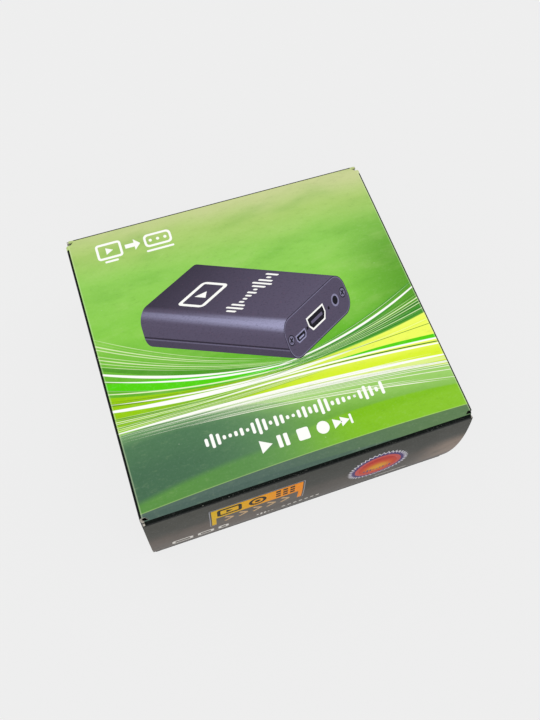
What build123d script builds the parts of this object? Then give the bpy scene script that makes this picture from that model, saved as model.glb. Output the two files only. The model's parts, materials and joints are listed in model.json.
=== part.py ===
from build123d import *
import math
import os

# A retail carton for a small video capture box, with the capture box in its cradle inside.
# Millimetres. +Z is up, -Y is the front, and the origin is the centre of the carton's underside.

# Carton
carton_width = 130.0
carton_depth = 121.0
carton_height = 54.0
board = 0.9  # thickness of the printed board
fold = 1.5  # outer radius of every fold
slip = 0.3  # clearance between board faces that slide past each other
closure_inset = 0.7  # the end panel is this much narrower than the carton, at each side
closure_bow = 2.3  # how far the end panel bows outwards at half its height
hinge_gap = 0.05  # clearance at a crease, where two panels meet edge to edge
corner_notch = 1.8  # cut corners of the top panel, beside its fold
tuck_length = 17.0
tuck_curl = 32.0  # radius of the tuck flap's curl, tight enough to clear the floor as it swings out
tuck_side_gap = 2.3  # from the side wall's inner face to the tuck flap's side
tuck_corner = 9.0
dust_length = 28.5
dust_low = 4.0  # the dust flap's lower edge, above the tuck flap's path
dust_top_gap = 1.6  # from the top panel's inner face to the dust flap's upper edge
dust_corner = 5.0
dust_taper = 1.5
dust_step = 3.2  # how far the lower edge rises over the tuck flap's curl
dust_step_start = 8.0
dust_step_end = 18.0
lap_height = 12.0  # the glued lap inside the left wall
lap_end_gap = 6.0
lap_bevel = 5.0

# Card insert that carries the capture box
card = 0.8
insert_length = 100.0
channel_width = 66.8  # inside the middle channel
channel_floor = 8.0  # underside of the channel's floor, above the carton's underside
insert_side_gap = 1.1  # from the side wall's inner face to the insert's leg, wider than the glued lap
insert_top_gap = 0.4
card_fold = 0.9  # radius on the card's centreline
thumb_radius = 9.0

# Foam
foam_gap = 0.1
foam_length = 98.0
foam_bed = 8.0  # foam under the capture box
foam_rim = 19.2  # full height of the cradle
pocket_gap = 0.4
lip_height = 4.5  # what is left of the cradle's end walls in front of the sockets
lip_width = 48.0
pad_bevel = 1.2

# Folded guide
guide_width = 60.0
guide_length = 88.0
leaf = 0.35
guide_gap = 0.1  # between its leaves

# Capture box
case_width = 60.0
case_height = 21.5
case_radius = 6.5
case_wall = 1.6
shell_length = 88.0
plate_thickness = 2.0
plate_bevel = 0.3
seam_height = 12.0  # where the upper and lower shells meet
seam_groove = 0.4
seam_lip = 1.0
seam_clearance = 0.1
foot_radius = 3.5
foot_height = 1.0
foot_taper = 0.35  # a foot's lower face is this much smaller in radius
foot_inset_x = 11.0
foot_inset_y = 10.0

# End plate screws
screw_inset = 4.2  # from the end plate's side to the screw's axis
screw_height = 10.75
screw_radius = 1.2
screw_bore = 1.25
screw_length = 9.0
head_radius = 2.6
head_depth = 1.5
head_clearance = 0.08
recess_width = 0.6
recess_length = 3.2
recess_depth = 0.9
channel_radius = 2.5  # the extruded screw channel

# Circuit board
pcb_thickness = 1.6
pcb_width = 56.0
pcb_length = 87.2
pcb_underside = 5.7
rail_depth = 1.5
rail_thickness = 1.0
rail_clearance = 0.1

# Sockets
sheet = 0.35  # stamped socket shells
socket_recess = 0.4  # behind the end plate's face
opening_clearance = 0.2
video_width = 15.0
video_height = 5.9
video_depth = 11.5
video_bevel = 1.9
video_tongue_width = 11.8
video_tongue_height = 1.3
video_upper_contacts = 10
video_lower_contacts = 9
data_width = 14.4
data_height = 6.9
data_depth = 14.0
data_tongue_width = 11.2
data_tongue_height = 1.8
data_contacts = 4
power_width = 7.8
power_height = 2.95
power_depth = 5.6
power_bevel = 0.8
power_tongue_width = 4.4
power_tongue_height = 0.6
power_contacts = 5
contact_pitch = 1.0
contact_width = 0.45
data_contact_pitch = 2.4
data_contact_width = 1.0
power_contact_pitch = 0.8
contact_thickness = 0.12
core_share = 0.25  # share of a socket's depth that its insulator's block fills
tongue_share = 0.6
contact_share = 0.5
jack_width = 7.0
jack_height = 6.2
jack_depth = 12.5
jack_barrel_radius = 3.0
jack_bore = 1.8
light_width = 2.4
light_height = 3.4
light_radius = 0.75

# Places of the sockets along the end plates, from the middle
power_x = -17.4
left_light_x = -10.8
video_in_x = -0.9
right_light_x = 10.8
mic_x = 18.0
data_x = -14.0
video_out_x = 3.5
line_x = 18.0

# Chips
chip_size = 14.0
chip_height = 1.3
chip_y = 4.0
thermal_pad_height = 0.5
sink_size = 20.0
sink_base = 1.5
sink_height = 6.5
sink_fins = 7
fin_thickness = 1.0
memory_width = 7.5
memory_length = 11.0
memory_height = 1.1
memory_pitch = 10.0
memory_y = 24.0
crystal_width = 4.5
crystal_length = 10.0
crystal_height = 3.2
capacitor_radius = 2.5
capacitor_height = 6.4
coil_size = 5.0
coil_height = 3.0
small_part = (1.6, 0.8, 0.6)
small_pitch = 2.4

# Heights and faces that several pieces share
half_width = carton_width / 2
half_depth = carton_depth / 2
inner_half_width = half_width - board
ceiling = carton_height - board
lip_half = half_width - fold
top_end = half_depth - fold  # where the top panel turns down
dust_face = half_depth - board - slip  # outer face of the dust flaps
dust_turn = dust_face - fold  # where the side wall turns into a dust flap
dust_high = ceiling - dust_top_gap
tuck_floor = board + slip  # underside of the tuck flap at its crease
closure_top = carton_height - fold - hinge_gap
crease_height = tuck_floor + fold  # where the end panel turns in
bed_top = channel_floor + card + foam_bed
case_base = bed_top + foot_height
case_top = case_base + case_height
end_face = shell_length / 2 + plate_thickness
socket_face = end_face - socket_recess
pcb_top = case_base + pcb_underside + pcb_thickness


def along_x(sketch, start, end):
    """Extrudes a sketch drawn in Y and Z from x = start to x = end."""
    return Pos(start, 0, 0) * extrude(Plane.YZ * sketch, amount=end - start)


def along_y(sketch, start, end):
    """Extrudes a sketch drawn in X and Z from y = start to y = end."""
    return Pos(0, end, 0) * extrude(Plane.XZ * sketch, amount=end - start)


def along_z(sketch, start, end):
    """Extrudes a sketch drawn in X and Y from z = start to z = end."""
    return Pos(0, 0, start) * extrude(sketch, amount=end - start)


def block(x, y, z, width, depth, height):
    """A box centred on x and y that stands on z."""
    return Pos(x, y, z) * Box(width, depth, height, align=(Align.CENTER, Align.CENTER, Align.MIN))


def facing(shape, end):
    """The front piece for end = -1, and its mirror image about the XZ plane for the rear."""
    return shape if end < 0 else mirror(shape, about=Plane.XZ)


def fold_ring(centre, start, sweep=90):
    """The section of board bent round a fold, from the angle start and through sweep degrees."""
    outer = CenterArc(centre, fold, start, sweep)
    inner = CenterArc(centre, fold - board, start, sweep)
    return make_face([outer, inner, Line(outer @ 0, inner @ 0), Line(outer @ 1, inner @ 1)])


# Carton


def glued_lap():
    """The end of the sheet, glued inside the left wall, with bevelled ends."""
    half = dust_turn - lap_end_gap
    low = fold
    high = low + lap_height
    outline = make_face(
        Polyline(
            (-half, low), (half, low), (half - lap_bevel, high), (lap_bevel - half, high), (-half, low)
        )
    )
    return along_x(outline, -inner_half_width, board - inner_half_width)


def sleeve_end():
    """The front folds of the sleeve: the top panel's, and one for each dust flap."""
    top_fold = along_x(fold_ring((-top_end, carton_height - fold), 90), -lip_half, lip_half)
    right = along_z(fold_ring((half_width - fold, -dust_turn), -90), dust_low, dust_high)
    left = mirror(right, about=Plane.YZ)
    return [top_fold, right, left]


def carton_sleeve():
    """Top, bottom and side panels, folded round and glued into a tube."""
    middle = Pos(0, carton_height / 2)
    outer = middle * RectangleRounded(carton_width, carton_height, fold)
    inner = middle * RectangleRounded(
        carton_width - 2 * board, carton_height - 2 * board, fold - board
    )
    sleeve = along_y(outer - inner, -dust_turn, dust_turn)
    top = block(0, 0, ceiling, 2 * lip_half, 2 * top_end, board)
    top = chamfer(top.edges().filter_by(Axis.Z), corner_notch)
    bottom_length = 2 * (half_depth - slip)
    bottom = block(0, 0, 0, 2 * lip_half, bottom_length, board)
    pieces = [facing(piece, end) for end in (-1, 1) for piece in sleeve_end()]
    return sleeve + [top, bottom] + pieces + glued_lap()


def closure_panel():
    """The front end panel: bowed outwards, with the fold that turns in under the box."""
    middle = (closure_top + crease_height) / 2
    face_y = -half_depth
    outer = ThreePointArc(
        (face_y, closure_top), (face_y - closure_bow, middle), (face_y, crease_height)
    )
    inner = Pos(board, 0) * outer
    turn_in = fold_ring((fold - half_depth, crease_height), 180)
    panel = make_face([outer, inner, Line(outer @ 0, inner @ 0), Line(outer @ 1, inner @ 1)])
    half = half_width - closure_inset
    return along_x(panel, -half, half) + along_x(turn_in, -half, half)


def tuck_flap():
    """The flap that tucks inside, curled up about the path on which it swings out."""
    root = fold - half_depth + hinge_gap
    centre = (root, tuck_floor + tuck_curl)
    sweep = math.degrees(tuck_length / tuck_curl)
    lower = CenterArc(centre, tuck_curl, -90, sweep)
    upper = CenterArc(centre, tuck_curl - board, -90, sweep)
    section = make_face([lower, upper, Line(lower @ 0, upper @ 0), Line(lower @ 1, upper @ 1)])
    half = inner_half_width - tuck_side_gap
    reach = (lower @ 1).X - root
    plan = Pos(0, root) * Rectangle(2 * half, 2 * reach)
    plan = fillet(plan.vertices(), tuck_corner)
    return along_x(section, -half, half) & along_z(plan, 0, carton_height)


def dust_flap():
    """The front right dust flap, tapered towards its free end and cut clear of the tuck flap."""
    root = lip_half - hinge_gap
    tip = lip_half - dust_length
    outline = make_face(
        Polyline(
            (root, dust_low),
            (root, dust_high),
            (tip, dust_high - dust_taper),
            (tip, dust_low + dust_step),
            (lip_half - dust_step_end, dust_low + dust_step),
            (lip_half - dust_step_start, dust_low),
            (root, dust_low),
        )
    )
    tips = outline.vertices().sort_by(Axis.X)[:2]
    return along_y(fillet(tips, dust_corner), -dust_face, board - dust_face)


# Inside the carton


def card_insert():
    """One strip of card folded into a channel between two legs."""
    leg_x = inner_half_width - insert_side_gap - card / 2
    wall_x = channel_width / 2 + card / 2
    high = ceiling - insert_top_gap - card / 2
    low = channel_floor + card / 2
    right_half = [(wall_x, low), (wall_x, high), (leg_x, high), (leg_x, board)]
    left_half = [(-x, z) for x, z in reversed(right_half)]
    path = FilletPolyline(*left_half, *right_half, radius=card_fold)
    insert = along_y(trace(path, card), -insert_length / 2, insert_length / 2)
    flange_x = (leg_x + wall_x) / 2
    for x in (-flange_x, flange_x):
        for y in (-insert_length / 2, insert_length / 2):
            insert -= Pos(x, y, high) * Cylinder(thumb_radius, 3 * card)
    return insert


def foam_cradle():
    """A foam block with a pocket for the capture box, open at both ends above a low lip."""
    width = channel_width - 2 * foam_gap
    low = channel_floor + card
    cradle = block(0, 0, low, width, foam_length, foam_rim)
    lower = cradle.edges().filter_by(Axis.Y).group_by(Axis.Z)[0]
    cradle = chamfer(lower, card_fold)
    pocket_height = 2 * case_height
    pocket = Pos(0, bed_top + pocket_height / 2) * RectangleRounded(
        case_width + 2 * pocket_gap, pocket_height, case_radius
    )
    pocket_half = end_face + pocket_gap
    cradle -= along_y(pocket, -pocket_half, pocket_half)
    return cradle - block(0, 0, bed_top + lip_height, lip_width, foam_length + 1, foam_rim)


def foam_pad():
    """The foam slab between the capture box and the folded guide."""
    width = channel_width - 2 * foam_gap
    height = guide_base() - case_top
    pad = block(0, 0, case_top, width, foam_length, height)
    return chamfer(pad.edges().filter_by(Axis.Z), pad_bevel)


def guide_base():
    """The guide lies just under the top panel."""
    return ceiling - foam_gap - 2 * leaf - guide_gap


def folded_guide():
    """A sheet folded once, with its fold on the left."""
    low = guide_base()
    middle = low + leaf + guide_gap / 2
    outer_radius = leaf + guide_gap / 2
    turn_x = outer_radius - guide_width / 2
    right = guide_width / 2
    path_radius = outer_radius - leaf / 2
    turn = CenterArc((turn_x, middle), path_radius, 90, 180)
    lower = Line((turn_x, middle - path_radius), (right, middle - path_radius))
    upper = Line((turn_x, middle + path_radius), (right, middle + path_radius))
    strip = trace(Curve() + [lower, turn, upper], leaf)
    return along_y(strip, -guide_length / 2, guide_length / 2)


# Capture box


def case_outline(inset=0.0):
    """The rounded section of the capture box, inset by a wall."""
    return Pos(0, case_base + case_height / 2) * RectangleRounded(
        case_width - 2 * inset, case_height - 2 * inset, case_radius - inset
    )


def seam_lips(clearance=0.0):
    """The two lips on the lower shell that locate the upper one."""
    inner = case_width / 2 - case_wall
    width = case_wall / 2 + clearance
    height = seam_lip + clearance
    lip = Pos(inner + width / 2, case_base + seam_height + height / 2) * Rectangle(width, height)
    return lip + mirror(lip, about=Plane.YZ)


def shell_section(above):
    """The case wall above or below the seam, bevelled at the seam so that it shows as a groove."""
    seam = case_base + seam_height
    wall = case_outline() - case_outline(case_wall)
    side = 1 if above else -1
    keep = Pos(0, seam + side * case_height / 2) * Rectangle(2 * case_width, case_height)
    section = wall & keep
    for x in (-case_width / 2, case_width / 2):
        groove = Pos(x, seam) * Rot(0, 0, 45) * Rectangle(seam_groove, seam_groove)
        section -= groove
    return section


def lower_shell():
    """The lower extrusion, with board rails and screw channels."""
    section = shell_section(above=False) + seam_lips()
    inner = case_width / 2 - case_wall
    rail_x = inner - rail_depth / 2 + rail_clearance
    gap_low = case_base + pcb_underside - rail_clearance
    gap_high = pcb_top + rail_clearance
    channel_x = case_width / 2 - screw_inset
    channel_z = case_base + screw_height
    for side in (-1, 1):
        for z in (gap_low - rail_thickness / 2, gap_high + rail_thickness / 2):
            section += Pos(side * rail_x, z) * Rectangle(rail_depth, rail_thickness)
        web = (channel_x + inner + seam_clearance) / 2
        section += Pos(side * web, channel_z - channel_radius / 2) * Rectangle(
            inner + seam_clearance - channel_x, channel_radius
        )
        section += Pos(side * channel_x, channel_z) * Circle(channel_radius)
        section -= Pos(side * channel_x, channel_z) * Circle(screw_bore)
    return along_y(section, -shell_length / 2, shell_length / 2)


def upper_shell():
    """The upper extrusion, rebated over the lower shell's lips."""
    section = shell_section(above=True) - seam_lips(seam_clearance)
    return along_y(section, -shell_length / 2, shell_length / 2)


def socket_outline(x, width, height, bevel=0.0, grow=0.0):
    """A socket's outside on the circuit board, with its two lower corners bevelled."""
    outline = Pos(x, pcb_top + height / 2) * Rectangle(width + 2 * grow, height + 2 * grow)
    if bevel:
        corners = outline.vertices().group_by(Axis.Y)[0]
        outline = chamfer(corners, bevel)
    return outline


def jack_axis():
    return pcb_top + jack_height / 2


def light_axis():
    return pcb_top + light_height - light_radius - sheet


def round_cut(x, z, radius):
    return Pos(x, z) * Circle(radius)


def end_plate(cuts):
    """The front end plate with its countersunk screw holes and the sockets' openings."""
    plate = along_y(case_outline(), -end_face, plate_thickness - end_face)
    plate = chamfer(plate.faces().sort_by(Axis.Y)[0].outer_wire().edges(), plate_bevel)
    for cut in cuts:
        plate -= along_y(cut, -end_face - 1, plate_thickness + 1 - end_face)
    for side in (-1, 1):
        plate -= end_screw(side, head_clearance, solid=True)
    return plate


def front_cuts():
    """Openings in the front end plate: power, video in, microphone and two lights."""
    grow = opening_clearance
    return [
        socket_outline(power_x, power_width, power_height, power_bevel, grow),
        socket_outline(video_in_x, video_width, video_height, video_bevel, grow),
        round_cut(mic_x, jack_axis(), jack_barrel_radius + grow),
        round_cut(left_light_x, light_axis(), light_radius + grow),
        round_cut(right_light_x, light_axis(), light_radius + grow),
    ]


def rear_cuts():
    """Openings in the rear end plate: data, video out and line out."""
    grow = opening_clearance
    return [
        socket_outline(data_x, data_width, data_height, grow=grow),
        socket_outline(video_out_x, video_width, video_height, video_bevel, grow),
        round_cut(line_x, jack_axis(), jack_barrel_radius + grow),
    ]


def end_screw(side, grow=0.0, solid=False):
    """A countersunk screw into the front of a screw channel, or with solid=True its clearance hole."""
    head = Pos(0, 0, -head_depth / 2) * Cone(
        screw_radius + grow, head_radius + grow, head_depth
    )
    shank = Pos(0, 0, -screw_length / 2) * Cylinder(screw_radius + grow, screw_length)
    screw = head + shank
    if not solid:
        for turn in (0, 90):
            screw -= Rot(0, 0, turn) * Pos(0, 0, -recess_depth / 2) * Box(
                recess_length, recess_width, recess_depth
            )
    seat = Pos(side * (case_width / 2 - screw_inset), -end_face, case_base + screw_height)
    return seat * Rot(90, 0, 0) * screw


def end_screws(end):
    return [facing(end_screw(side), end) for side in (-1, 1)]


def rubber_feet():
    x = case_width / 2 - foot_inset_x
    y = shell_length / 2 - foot_inset_y
    foot = Cone(
        foot_radius - foot_taper, foot_radius, foot_height, align=(Align.CENTER, Align.CENTER, Align.MIN)
    )
    return [Pos(i * x, j * y, bed_top) * foot for i in (-1, 1) for j in (-1, 1)]


def main_board():
    board_base = case_base + pcb_underside
    return block(0, 0, board_base, pcb_width, pcb_length, pcb_thickness)


def socket_shell(x, width, height, depth, bevel=0.0):
    """A stamped shell, open to the front and closed at its back."""
    outline = socket_outline(x, width, height, bevel)
    inside = offset(outline, -sheet, kind=Kind.INTERSECTION)
    shell = along_y(outline, -socket_face, depth - socket_face)
    return shell - along_y(inside, -socket_face - 1, depth - sheet - socket_face)


def socket_core(x, width, height, depth, tongue_width, tongue_height, bevel=0.0):
    """The insulator: a block at the back of the shell and the tongue that stands out of it."""
    middle = pcb_top + height / 2
    back = depth - sheet - socket_face
    base_depth = depth * core_share
    inside = offset(socket_outline(x, width, height, bevel), -sheet, kind=Kind.INTERSECTION)
    base = along_y(inside, back - base_depth, back)
    tongue_depth = depth * tongue_share
    tongue = Pos(x, back - base_depth - tongue_depth / 2, middle) * Box(
        tongue_width, tongue_depth, tongue_height
    )
    tip = tongue.faces().sort_by(Axis.Y)[0].edges().filter_by(Axis.X)
    return base + chamfer(tip, tongue_height / 4)


def contact_row(x, height, depth, tongue_height, count, pitch, width, above=False):
    """One row of flat contacts on the upper or lower face of the tongue."""
    side = 1 if above else -1
    face = pcb_top + height / 2 + side * tongue_height / 2
    z = face if above else face - contact_thickness
    length = depth * contact_share
    y = depth * (1 - core_share) - sheet - socket_face - length / 2
    first = x - pitch * (count - 1) / 2
    return [block(first + i * pitch, y, z, width, length, contact_thickness) for i in range(count)]


def video_contacts(x):
    sizes = (x, video_height, video_depth, video_tongue_height)
    upper = contact_row(*sizes, video_upper_contacts, contact_pitch, contact_width, above=True)
    return upper + contact_row(*sizes, video_lower_contacts, contact_pitch, contact_width)


def data_contact_strips():
    sizes = (data_x, data_height, data_depth, data_tongue_height)
    return contact_row(*sizes, data_contacts, data_contact_pitch, data_contact_width)


def power_contact_strips():
    sizes = (power_x, power_height, power_depth, power_tongue_height)
    return contact_row(*sizes, power_contacts, power_contact_pitch, contact_width)


def audio_jack(x):
    """A round audio socket: a moulded body on the board and a barrel through the end plate."""
    back = jack_depth - end_face + plate_thickness
    body = block(
        x, back - jack_depth / 2 + seam_clearance, pcb_top, jack_width, jack_depth, jack_height
    )
    barrel = along_y(
        round_cut(x, jack_axis(), jack_barrel_radius), -socket_face, plate_thickness - end_face + 1
    )
    bore = along_y(round_cut(x, jack_axis(), jack_bore), -socket_face - 1, back - 1)
    return body + barrel - bore


def jack_sleeve(x):
    """The sprung ground sleeve that lines the mouth of the jack's bore."""
    ring = round_cut(x, jack_axis(), jack_bore) - round_cut(x, jack_axis(), jack_bore - sheet / 2)
    return along_y(ring, sheet - socket_face, jack_depth / 2 - socket_face)


def status_lights():
    """Two lamps on the board, each with a round nose in the end plate."""
    lights = []
    for x in (left_light_x, right_light_x):
        y = plate_thickness - end_face + light_width / 2 + seam_clearance
        lamp = block(x, y, pcb_top, light_width, light_width, light_height)
        nose = along_y(round_cut(x, light_axis(), light_radius), -socket_face, y)
        lights.append(lamp + nose)
    return lights


def heat_sink():
    base = pcb_top + chip_height + thermal_pad_height
    sink = block(0, chip_y, base, sink_size, sink_size, sink_base)
    pitch = (sink_size - fin_thickness) / (sink_fins - 1)
    for i in range(sink_fins):
        x = i * pitch - (sink_size - fin_thickness) / 2
        sink += block(x, chip_y, base, fin_thickness, sink_size, sink_height)
    return sink


def memory_chips():
    return [
        block(side * memory_pitch / 2, memory_y, pcb_top, memory_width, memory_length, memory_height)
        for side in (-1, 1)
    ]


def crystal_can():
    can = block(-sink_size, chip_y, pcb_top, crystal_width, crystal_length, crystal_height)
    return fillet(can.edges().filter_by(Axis.Z), crystal_width / 2 - 0.01)


def capacitors():
    x = sink_size - capacitor_radius
    can = Cylinder(
        capacitor_radius, capacitor_height, align=(Align.CENTER, Align.CENTER, Align.MIN)
    )
    return [Pos(x, chip_y + side * 3 * capacitor_radius, pcb_top) * can for side in (-1, 0, 1)]


def power_coils():
    coil = block(0, 0, pcb_top, coil_size, coil_size, coil_height)
    coil = chamfer(coil.edges().filter_by(Axis.Z), coil_size / 8)
    return [Pos(power_x, -shell_length / 4 + i * (coil_size + sheet), 0) * coil for i in (0, 1)]


def small_parts():
    """Rows of chip resistors beside the capture chip."""
    width, length, height = small_part
    rows = []
    for i in range(5):
        for side in (-1, 1):
            x = side * small_pitch * (i + 1)
            rows.append(block(x, chip_y - sink_size, pcb_top, length, width, height))
    return rows


def write(name, shape):
    """Writes one node as a STEP file."""
    solids = shape if isinstance(shape, list) else [shape]
    solids = [solid for piece in solids for solid in piece.solids()]
    export_step(Compound(children=solids) if len(solids) > 1 else solids[0], f"parts/{name}.step")


def main():
    os.makedirs("parts", exist_ok=True)
    write("carton_sleeve", carton_sleeve())
    for end, place in ((-1, "front"), (1, "rear")):
        write(f"{place}_closure_panel", facing(closure_panel(), end))
        write(f"{place}_tuck_flap", facing(tuck_flap(), end))
        right = facing(dust_flap(), end)
        write(f"{place}_right_dust_flap", right)
        write(f"{place}_left_dust_flap", mirror(right, about=Plane.YZ))
        write(f"{place}_plate_screws", end_screws(end))
    write("card_insert", card_insert())
    write("foam_cradle", foam_cradle())
    write("foam_pad", foam_pad())
    write("folded_guide", folded_guide())

    write("lower_shell", lower_shell())
    write("upper_shell", upper_shell())
    write("front_end_plate", end_plate(front_cuts()))
    write("rear_end_plate", facing(end_plate(rear_cuts()), 1))
    write("rubber_feet", rubber_feet())
    write("main_board", main_board())

    video = (video_width, video_height, video_depth)
    video_tongue = (video_tongue_width, video_tongue_height)
    for name, x, end in (("video_in", video_in_x, -1), ("video_out", video_out_x, 1)):
        write(f"{name}_shell", facing(socket_shell(x, *video, video_bevel), end))
        write(f"{name}_core", facing(socket_core(x, *video, *video_tongue, video_bevel), end))
        write(f"{name}_contacts", [facing(piece, end) for piece in video_contacts(x)])
    data = (data_width, data_height, data_depth)
    data_tongue = (data_tongue_width, data_tongue_height)
    write("data_socket_shell", facing(socket_shell(data_x, *data), 1))
    write("data_socket_core", facing(socket_core(data_x, *data, *data_tongue), 1))
    write("data_socket_contacts", [facing(strip, 1) for strip in data_contact_strips()])
    power = (power_width, power_height, power_depth)
    power_tongue = (power_tongue_width, power_tongue_height)
    write("power_socket_shell", socket_shell(power_x, *power, power_bevel))
    write("power_socket_core", socket_core(power_x, *power, *power_tongue, power_bevel))
    write("power_socket_contacts", power_contact_strips())
    write("mic_jack_body", audio_jack(mic_x))
    write("mic_jack_sleeve", jack_sleeve(mic_x))
    write("line_jack_body", facing(audio_jack(line_x), 1))
    write("line_jack_sleeve", facing(jack_sleeve(line_x), 1))
    write("status_lights", status_lights())

    chip = block(0, chip_y, pcb_top, chip_size, chip_size, chip_height)
    write("capture_chip", chip)
    pad_base = pcb_top + chip_height
    write("thermal_pad", block(0, chip_y, pad_base, chip_size, chip_size, thermal_pad_height))
    write("heat_sink", heat_sink())
    write("memory_chips", memory_chips())
    write("crystal_can", crystal_can())
    write("capacitors", capacitors())
    write("power_coils", power_coils())
    write("small_parts", small_parts())


main()
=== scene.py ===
import json
import math

import bmesh
import bpy
from mathutils import Matrix, Vector, noise


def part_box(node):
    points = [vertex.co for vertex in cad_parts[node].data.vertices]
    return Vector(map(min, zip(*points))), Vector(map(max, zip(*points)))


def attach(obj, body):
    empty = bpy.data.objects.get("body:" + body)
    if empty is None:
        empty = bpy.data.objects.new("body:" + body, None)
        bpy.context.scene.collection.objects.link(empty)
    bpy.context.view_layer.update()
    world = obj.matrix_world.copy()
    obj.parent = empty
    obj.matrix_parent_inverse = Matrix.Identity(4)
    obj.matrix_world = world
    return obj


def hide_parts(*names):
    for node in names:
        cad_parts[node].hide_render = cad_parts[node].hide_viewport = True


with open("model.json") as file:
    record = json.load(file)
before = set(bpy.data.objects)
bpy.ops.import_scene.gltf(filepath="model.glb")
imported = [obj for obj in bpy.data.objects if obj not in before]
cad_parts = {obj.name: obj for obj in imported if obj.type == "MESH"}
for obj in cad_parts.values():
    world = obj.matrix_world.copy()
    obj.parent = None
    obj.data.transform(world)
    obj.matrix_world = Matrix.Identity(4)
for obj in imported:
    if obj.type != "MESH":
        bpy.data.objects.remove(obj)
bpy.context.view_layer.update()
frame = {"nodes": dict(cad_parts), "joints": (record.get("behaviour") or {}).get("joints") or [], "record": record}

# The closed retail carton of a video capture box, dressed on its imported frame.
# Places on the print are in millimetres, as x and y on the top panel or x and z on the front one.

NODES = frame["nodes"]
SCENE = bpy.context.scene
MM = 0.001


def node_box(node):
    """A node's lowest and highest corners, in millimetres."""
    low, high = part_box(node)
    return low / MM, high / MM


def add_object(name, data):
    added = bpy.data.objects.new(name, data)
    SCENE.collection.objects.link(added)
    return added


# Sizes read from the frame
SLEEVE_HIGH = node_box("carton_sleeve")[1]
PANEL_LOW, PANEL_HIGH = node_box("front_closure_panel")
HINGE = {joint["name"]: Vector(joint["pos_m"]) / MM for joint in frame["joints"]}
HALF_WIDTH = SLEEVE_HIGH.x
TOP = SLEEVE_HIGH.z
HALF_DEPTH = -HINGE["front_closure_hinge"].y
FOLD = TOP - HINGE["front_closure_hinge"].z
TOP_END = HALF_DEPTH - FOLD
DUST_FACE = -node_box("front_right_dust_flap")[0].y
DUST_TURN = DUST_FACE - FOLD
CREASE_HEIGHT = HINGE["front_tuck_crease"].z + FOLD
TUCK_LOW, TUCK_HIGH = node_box("front_tuck_flap")

# The end panel's outward bow, an arc in Y and Z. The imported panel's flat facets end just short of it.
FACET_SAG = 0.0136
BOW_MIDDLE = (PANEL_HIGH.z + CREASE_HEIGHT) / 2
BOW_HALF = (PANEL_HIGH.z - CREASE_HEIGHT) / 2
BOW_RISE = FACET_SAG - HALF_DEPTH - PANEL_LOW.y
BOW_RADIUS = (BOW_HALF ** 2 + BOW_RISE ** 2) / (2 * BOW_RISE)
BOW_CENTRE = BOW_RADIUS - HALF_DEPTH - BOW_RISE

# Camera
PHOTO_WIDTH = 540
PHOTO_HEIGHT = 720
SENSOR = 36.0
FOCAL_PIXELS = 834.3
CENTRE_PIXEL = (262.6, 280.8)
CAMERA_PLACE = Vector((-55.55, -126.85, 352.97))
CAMERA_RIGHT = Vector((0.9455, -0.32311, 0.04044))
CAMERA_FORWARD = Vector((0.18453, 0.42934, -0.88409))


def srgb(red, green, blue):
    """A colour given as it looks on screen, 0 to 255, as the linear values that a shader takes."""
    channels = []
    for value in (red, green, blue):
        share = value / 255
        channels.append(share / 12.92 if share <= 0.04045 else ((share + 0.055) / 1.055) ** 2.4)
    return (*channels, 1.0)


# Fields: numbers and colours that vary over a surface, written as sums and products


def add_node(tree, kind):
    return tree.nodes.new("ShaderNode" + kind)


class Field:
    """The output of a shader node, which adds and multiplies like a number."""

    def __init__(self, tree, socket):
        self.tree = tree
        self.socket = socket

    def combine(self, operation, *others):
        node = add_node(self.tree, "Math")
        node.operation = operation
        for socket, value in zip(node.inputs, (self, *others)):
            feed(self.tree, socket, value)
        return Field(self.tree, node.outputs[0])

    def __add__(self, other):
        return self.combine("ADD", other)

    def __sub__(self, other):
        return self.combine("SUBTRACT", other)

    def __rsub__(self, other):
        return (self * -1.0).combine("ADD", other)

    def __mul__(self, other):
        return self.combine("MULTIPLY", other)

    def __truediv__(self, other):
        return self.combine("DIVIDE", other)

    def __abs__(self):
        return self.combine("ABSOLUTE")


def feed(tree, socket, value):
    """Gives a socket a field, or a number or colour of its own."""
    if isinstance(value, Field):
        tree.links.new(value.socket, socket)
    else:
        socket.default_value = value


def higher(a, b):
    return a.combine("MAXIMUM", b)


def root(a):
    return a.combine("SQRT")


def below(a, limit):
    return a.combine("LESS_THAN", limit)


def above(a, limit):
    return a.combine("GREATER_THAN", limit)


def step(value, start, end):
    """0 before start and 1 after end, with a smooth change between; end may be the lower one."""
    node = add_node(value.tree, "MapRange")
    node.interpolation_type = "SMOOTHSTEP"
    feed(value.tree, node.inputs["Value"], value)
    node.inputs["From Min"].default_value = start
    node.inputs["From Max"].default_value = end
    return Field(value.tree, node.outputs["Result"])


def mix(first, second, share):
    """A colour between two others. At least the share is a field."""
    node = add_node(share.tree, "Mix")
    node.data_type = "RGBA"
    feed(share.tree, node.inputs[0], share)
    feed(share.tree, node.inputs[6], first)
    feed(share.tree, node.inputs[7], second)
    return Field(share.tree, node.outputs[2])


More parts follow.
